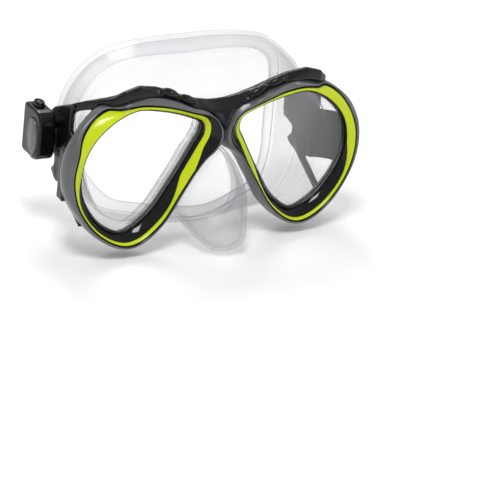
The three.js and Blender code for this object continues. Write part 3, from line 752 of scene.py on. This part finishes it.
def turned(profile, sides=64):
    """Spins (distance out, radius) pairs about the buckle's own axis."""
    out, radius = np.array(profile, float).T
    angle = np.linspace(0, 2 * math.pi, sides, endpoint=False)
    x = np.broadcast_to(-out[:, None], (len(out), sides))
    return np.stack([x, radius[:, None] * np.cos(angle), radius[:, None] * np.sin(angle)], axis=-1)


def oval_rows(rows, half, sides=72):
    """Ovals facing out of the buckle, from (distance out, growth) pairs."""
    angle = np.linspace(0, 2 * math.pi, sides, endpoint=False)
    rings = []
    for out, grow in rows:
        rings.append(np.stack([np.full(sides, -out), (half[0] + grow) * np.cos(angle),
                               (half[1] + grow) * np.sin(angle)], axis=1))
    return np.stack(rings)


def button_rows(way_up, sides=56):
    """An upright oval plug whose top is dished, with a rolled edge."""
    wall = BUCKLE_HIGH if way_up > 0 else BUCKLE_LOW
    top = wall + way_up * BUTTON_PROUD
    foot = wall - way_up * BUTTON_DEPTH
    levels = [(foot, -0.6), (foot + way_up * 0.6, 0), (top - way_up * 0.9, 0),
              (top - way_up * 0.35, -0.18), (top, -0.6), (top - way_up * 0.1, -1.1),
              (top - way_up * 0.45, -1.5), (top - way_up * 0.6, -2.1)]
    angle = np.linspace(0, 2 * math.pi, sides, endpoint=False)
    rings = []
    for z, grow in levels:
        rings.append(np.stack([BUTTON_CENTRE[0] + (BUTTON_HALF[0] + grow) * np.cos(angle),
                               BUTTON_CENTRE[1] + (BUTTON_HALF[1] + grow) * np.sin(angle),
                               np.full(sides, z)], axis=1))
    return np.stack(rings)


def coil_rows(radius, wire, low, high, turns=5, per_turn=28, sides=10):
    """A round wire carried along a helix: the wire's circle lies across the helix at each step."""
    steps = turns * per_turn + 1
    turn = np.linspace(0, 2 * math.pi * turns, steps)
    centre = np.stack([BUTTON_CENTRE[0] + radius * np.cos(turn),
                       BUTTON_CENTRE[1] + radius * np.sin(turn),
                       np.linspace(low, high, steps)], axis=1)
    out = np.stack([np.cos(turn), np.sin(turn), np.zeros(steps)], axis=1)
    angle = np.linspace(0, 2 * math.pi, sides, endpoint=False)
    return (centre[:, None] + wire * np.cos(angle)[None, :, None] * out[:, None]
            + wire * np.sin(angle)[None, :, None] * np.array([0, 0, 1.0]))


def roller_rows(low, high, sides=72):
    """A sleeve with a dozen ribs along it: the radius rises and falls round the sleeve."""
    angle = np.linspace(0, 2 * math.pi, sides, endpoint=False)
    ripple = ROLLER_RADIUS - 0.16 * (0.5 + 0.5 * np.cos(angle * ROLLER_RIBS)) ** 2
    rings = []
    for z, share, bore in [(low, 0.55, True), (low, 0.92, False), (low + 0.3, 1.0, False),
                           (high - 0.3, 1.0, False), (high, 0.92, False), (high, 0.55, True)]:
        radius = np.full(sides, ROLLER_BORE) if bore else ripple * share
        rings.append(np.stack([ROLLER[0] + radius * np.cos(angle),
                               ROLLER[1] + radius * np.sin(angle), np.full(sides, z)], axis=1))
    return np.stack(rings)


# ---- operators -------------------------------------------------------------------------
class MASK_OT_frame(bpy.types.Operator):
    """Makes the black main frame with its brow, vents and side wings"""

    bl_idname = "mask.frame"
    bl_label = "Main frame"

    def execute(self, context):
        thing = softened("main_frame", "frame_shell", context.scene.mask_looks.frame_voxel, 5)
        finish_piece(thing, "mask", finishes()["satin"], "black_satin", "main_frame")
        return {"FINISHED"}


class MASK_OT_bezel(bpy.types.Operator):
    """Makes the grey bezel round both lenses"""

    bl_idname = "mask.bezel"
    bl_label = "Front bezel"

    def execute(self, context):
        shells = [looped(other_side(ring_points(bezel_section()), way)) for _, way in SIDES]
        thing = as_object("bezel_shell", as_mesh("bezel_shell", shells))
        rounded(thing, context.scene.mask_looks.edge_width)
        finish_piece(thing, "mask", finishes()["grey"], "gunmetal", "front_bezel")
        return {"FINISHED"}


class MASK_OT_trims(bpy.types.Operator):
    """Makes the polished retainer and the lime insert of each lens"""

    bl_idname = "mask.trims"
    bl_label = "Lens trims"

    def execute(self, context):
        width = context.scene.mask_looks.edge_width
        for side, way in SIDES:
            for name, section, finish, slot, node in (
                (f"{side}_retainer_ring", retainer_section(), "gloss", "black_gloss",
                 f"{side}_lens_retainer"),
                (f"{side}_lime_trim", insert_section(), "lime", "lime_gloss",
                 f"{side}_lime_insert"),
            ):
                shell = looped(other_side(ring_points(section), way))
                thing = as_object(name, as_mesh(name, [shell]))
                rounded(thing, width * 0.6)
                finish_piece(thing, "mask", finishes()[finish], slot, node)
        return {"FINISHED"}


class MASK_OT_lenses(bpy.types.Operator):
    """Makes the two flat glass lenses with ground edges"""

    bl_idname = "mask.lenses"
    bl_label = "Lenses"

    def execute(self, context):
        for side, way in SIDES:
            rows = [(LENS_OVERLAP - 0.35, LENS_FRONT), (LENS_OVERLAP, LENS_FRONT + 0.35),
                    (LENS_OVERLAP, LENS_BACK - 0.35), (LENS_OVERLAP - 0.35, LENS_BACK)]
            points = ring_points(rows).transpose(1, 0, 2)
            name = f"{side}_glass"
            thing = as_object(name, as_mesh(name, [capped(other_side(points, way))]))
            finish_piece(thing, "mask", finishes()["glass"], "tempered_glass", f"{side}_lens")
        return {"FINISHED"}


class MASK_OT_skirt(bpy.types.Operator):
    """Makes the clear skirt with its lens pockets, nose pocket and rolled lip"""

    bl_idname = "mask.skirt"
    bl_label = "Skirt"

    def execute(self, context):
        def tool(name, shell):
            return as_object(name, as_mesh(name, [shell]))

        back = wall_back() + 5
        inset = SKIRT_TUBE - SKIRT_WALL
        outer = tool("skirt_shell", capped(skirt_body(0)))
        inner = tool("inside", capped(skirt_body(SKIRT_WALL)))
        add, cut = [tool("nose", capped(nose_pocket(0)))], [tool("hollow", capped(nose_pocket(1.5)))]
        for side, way in SIDES:
            column = disc_rows(SKIRT_TUBE, LENS_BACK + GAP, back)
            add.append(tool(f"{side}_column", capped(other_side(column, way))))
            pocket = disc_rows(inset, 2.0, back - SKIRT_WALL - GAP)
            cut.append(tool(f"{side}_pocket", capped(other_side(pocket, way))))
            through = tool(f"{side}_through", capped(skirt_body(SKIRT_WALL + GAP, -9.0)))
            mouth = tool(f"{side}_mouth", capped(other_side(disc_rows(inset, 2.0, 17.0), way)))
            cut.append(combined(through, [mouth], "INTERSECT"))
        combined(outer, add, "UNION")
        combined(outer, [inner, *cut], "DIFFERENCE")
        combined(outer, [tool("lip", looped(skirt_lip()))], "UNION")
        relax = outer.modifiers.new("relax", "SMOOTH")
        relax.factor = 0.5
        relax.iterations = 3
        smooth(settled(outer))
        finish_piece(outer, "mask", finishes()["silicone"], "clear_silicone", "skirt")
        return {"FINISHED"}


class MASK_OT_buckles(bpy.types.Operator):
    """Makes the two swivelling buckles with their covers, buttons, coils and rollers"""

    bl_idname = "mask.buckles"
    bl_label = "Strap buckles"

    def execute(self, context):
        look = finishes()
        cover = [(BUCKLE_OUTER - 0.5, -0.1), (BUCKLE_OUTER + 0.4, -0.1), (BUCKLE_OUTER + 0.85, -0.45),
                 (BUCKLE_OUTER + 0.95, -0.9), (BUCKLE_OUTER + 0.8, -1.3), (BUCKLE_OUTER + 0.62, -1.6),
                 (BUCKLE_OUTER + 0.72, -2.2), (BUCKLE_OUTER + 0.95, -3.4), (BUCKLE_OUTER + 1.05, -4.8)]
        mount = [(0.3, 2.4), (0.3, 6.3), (1.3, 6.3), (1.65, 6.1), (1.8, 5.7), (1.8, 2.4)]
        for side, way in SIDES:
            body = f"{side}_buckle"
            shell = softened(f"{side}_buckle_body", f"{side}_buckle_shell", 0.3, 3)
            finish_piece(shell, body, look["satin"], "black_satin", f"{side}_buckle_body")
            pieces = [
                ("cover", capped(in_mask(oval_rows(cover, COVER_HALF), way)), body, "grey",
                 "gunmetal", "cover_disc"),
                ("swivel_ring", looped(in_mask(turned(mount), way)), "mask", "satin",
                 "black_satin", "swivel_mount"),
                ("upper_push", capped(in_mask(button_rows(1), way)), f"{side}_upper_button",
                 "gloss", "black_gloss", "upper_button"),
                ("lower_push", capped(in_mask(button_rows(-1), way)), f"{side}_lower_button",
                 "gloss", "black_gloss", "lower_button"),
                ("coil", capped(in_mask(coil_rows(1.7, 0.32, -5.4, 8.6), way)), body, "steel",
                 "steel", "button_spring"),
                ("ribbed_roller", looped(in_mask(roller_rows(-7.4, 10.6), way)),
                 f"{side}_strap_roller", "satin", "black_satin", "strap_roller"),
            ]
            for name, made, rides_on, finish, slot, node in pieces:
                full = f"{side}_{name}"
                thing = as_object(full, as_mesh(full, [made]))
                rounded(thing, 0.1, angle=40)
                finish_piece(thing, rides_on, look[finish], slot, f"{side}_{node}")
            for node, finish in (("pivot_pin", "steel"), ("roller_pin", "steel"),
                                 ("strap_pawl", "satin")):
                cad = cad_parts[f"{side}_{node}"]
                cad.data.materials.clear()
                cad.data.materials.append(look[finish])
        return {"FINISHED"}


class MASK_OT_stage(bpy.types.Operator):
    """Sets the floor, the lights and the camera"""

    bl_idname = "mask.stage"
    bl_label = "Stage"

    def execute(self, context):
        scene = context.scene
        half = 6.0
        level = CAD_BOX[0][2] - 0.0005
        floor = bpy.data.meshes.new("floor")
        floor.from_pydata([(-half, -half, level), (half, -half, level), (half, half, level),
                           (-half, half, level)], [], [(0, 1, 2, 3)])
        ground = as_object("floor", floor)
        ground.data.materials.append(studio_floor("pale_floor", 0.93))
        world = bpy.data.worlds.new("studio")
        world.use_nodes = True
        world.node_tree.nodes["Background"].inputs["Color"].default_value = (1, 1, 1, 1)
        world.node_tree.nodes["Background"].inputs["Strength"].default_value = 0.62
        scene.world = world
        for name, place, size, power in (
            ("key", (-0.35, -0.35, 0.95), 0.3, 5.5),
            ("fill", (0.9, -0.75, 0.45), 0.12, 1.6),
            ("rim", (0.2, 0.75, 0.8), 0.4, 4.0),
        ):
            light = bpy.data.lights.new(name, "AREA")
            light.shape = "SQUARE"
            light.size = size
            light.energy = power
            lamp = bpy.data.objects.new(name, light)
            scene.collection.objects.link(lamp)
            lamp.location = place
            aim = Vector((0, 0.01, -0.005)) - Vector(place)
            lamp.rotation_euler = aim.to_track_quat("-Z", "Y").to_euler()
        lens = bpy.data.cameras.new("camera")
        lens.lens = 180.0
        lens.sensor_width = 36.0
        lens.clip_end = 50.0
        camera = bpy.data.objects.new("camera", lens)
        scene.collection.objects.link(camera)
        right = Vector((0.84442301, -0.52422881, 0.11015413))
        upward = Vector((0.13277142, 0.40404229, 0.90505336))
        forward = Vector((0.51896197, 0.74962256, -0.41078521))
        turn = Matrix((right, upward, -forward)).transposed()
        camera.matrix_world = (Matrix.Translation(Vector((-608.734, -914.479, 440.825)) * MM)
                               @ turn.to_4x4())
        scene.camera = camera
        scene.view_settings.view_transform = "Standard"
        scene.view_settings.look = "None"
        return {"FINISHED"}


class MASK_PT_panel(bpy.types.Panel):
    """Lists the mask's settings and the steps that build it"""

    bl_label = "Diving mask"
    bl_idname = "MASK_PT_panel"
    bl_space_type = "VIEW_3D"
    bl_region_type = "UI"
    bl_category = "Mask"

    def draw(self, context):
        for name in MaskLooks.__annotations__:
            self.layout.prop(context.scene.mask_looks, name)
        for step in STEPS:
            self.layout.operator(step.bl_idname)


STEPS = (MASK_OT_frame, MASK_OT_bezel, MASK_OT_trims, MASK_OT_lenses, MASK_OT_skirt,
         MASK_OT_buckles, MASK_OT_stage)


def register():
    """Adds the settings, the operators and the panel to Blender."""
    for kind in (MaskLooks, *STEPS, MASK_PT_panel):
        bpy.utils.register_class(kind)
    bpy.types.Scene.mask_looks = bpy.props.PointerProperty(type=MaskLooks)


def unregister():
    """Takes them away again."""
    del bpy.types.Scene.mask_looks
    for kind in (MASK_PT_panel, *reversed(STEPS), MaskLooks):
        bpy.utils.unregister_class(kind)


def main():
    """Runs every operator in order."""
    register()
    for step in STEPS:
        family, name = step.bl_idname.split(".")
        getattr(getattr(bpy.ops, family), name)()
    bpy.context.view_layer.update()


if __name__ == "__main__":
    main()
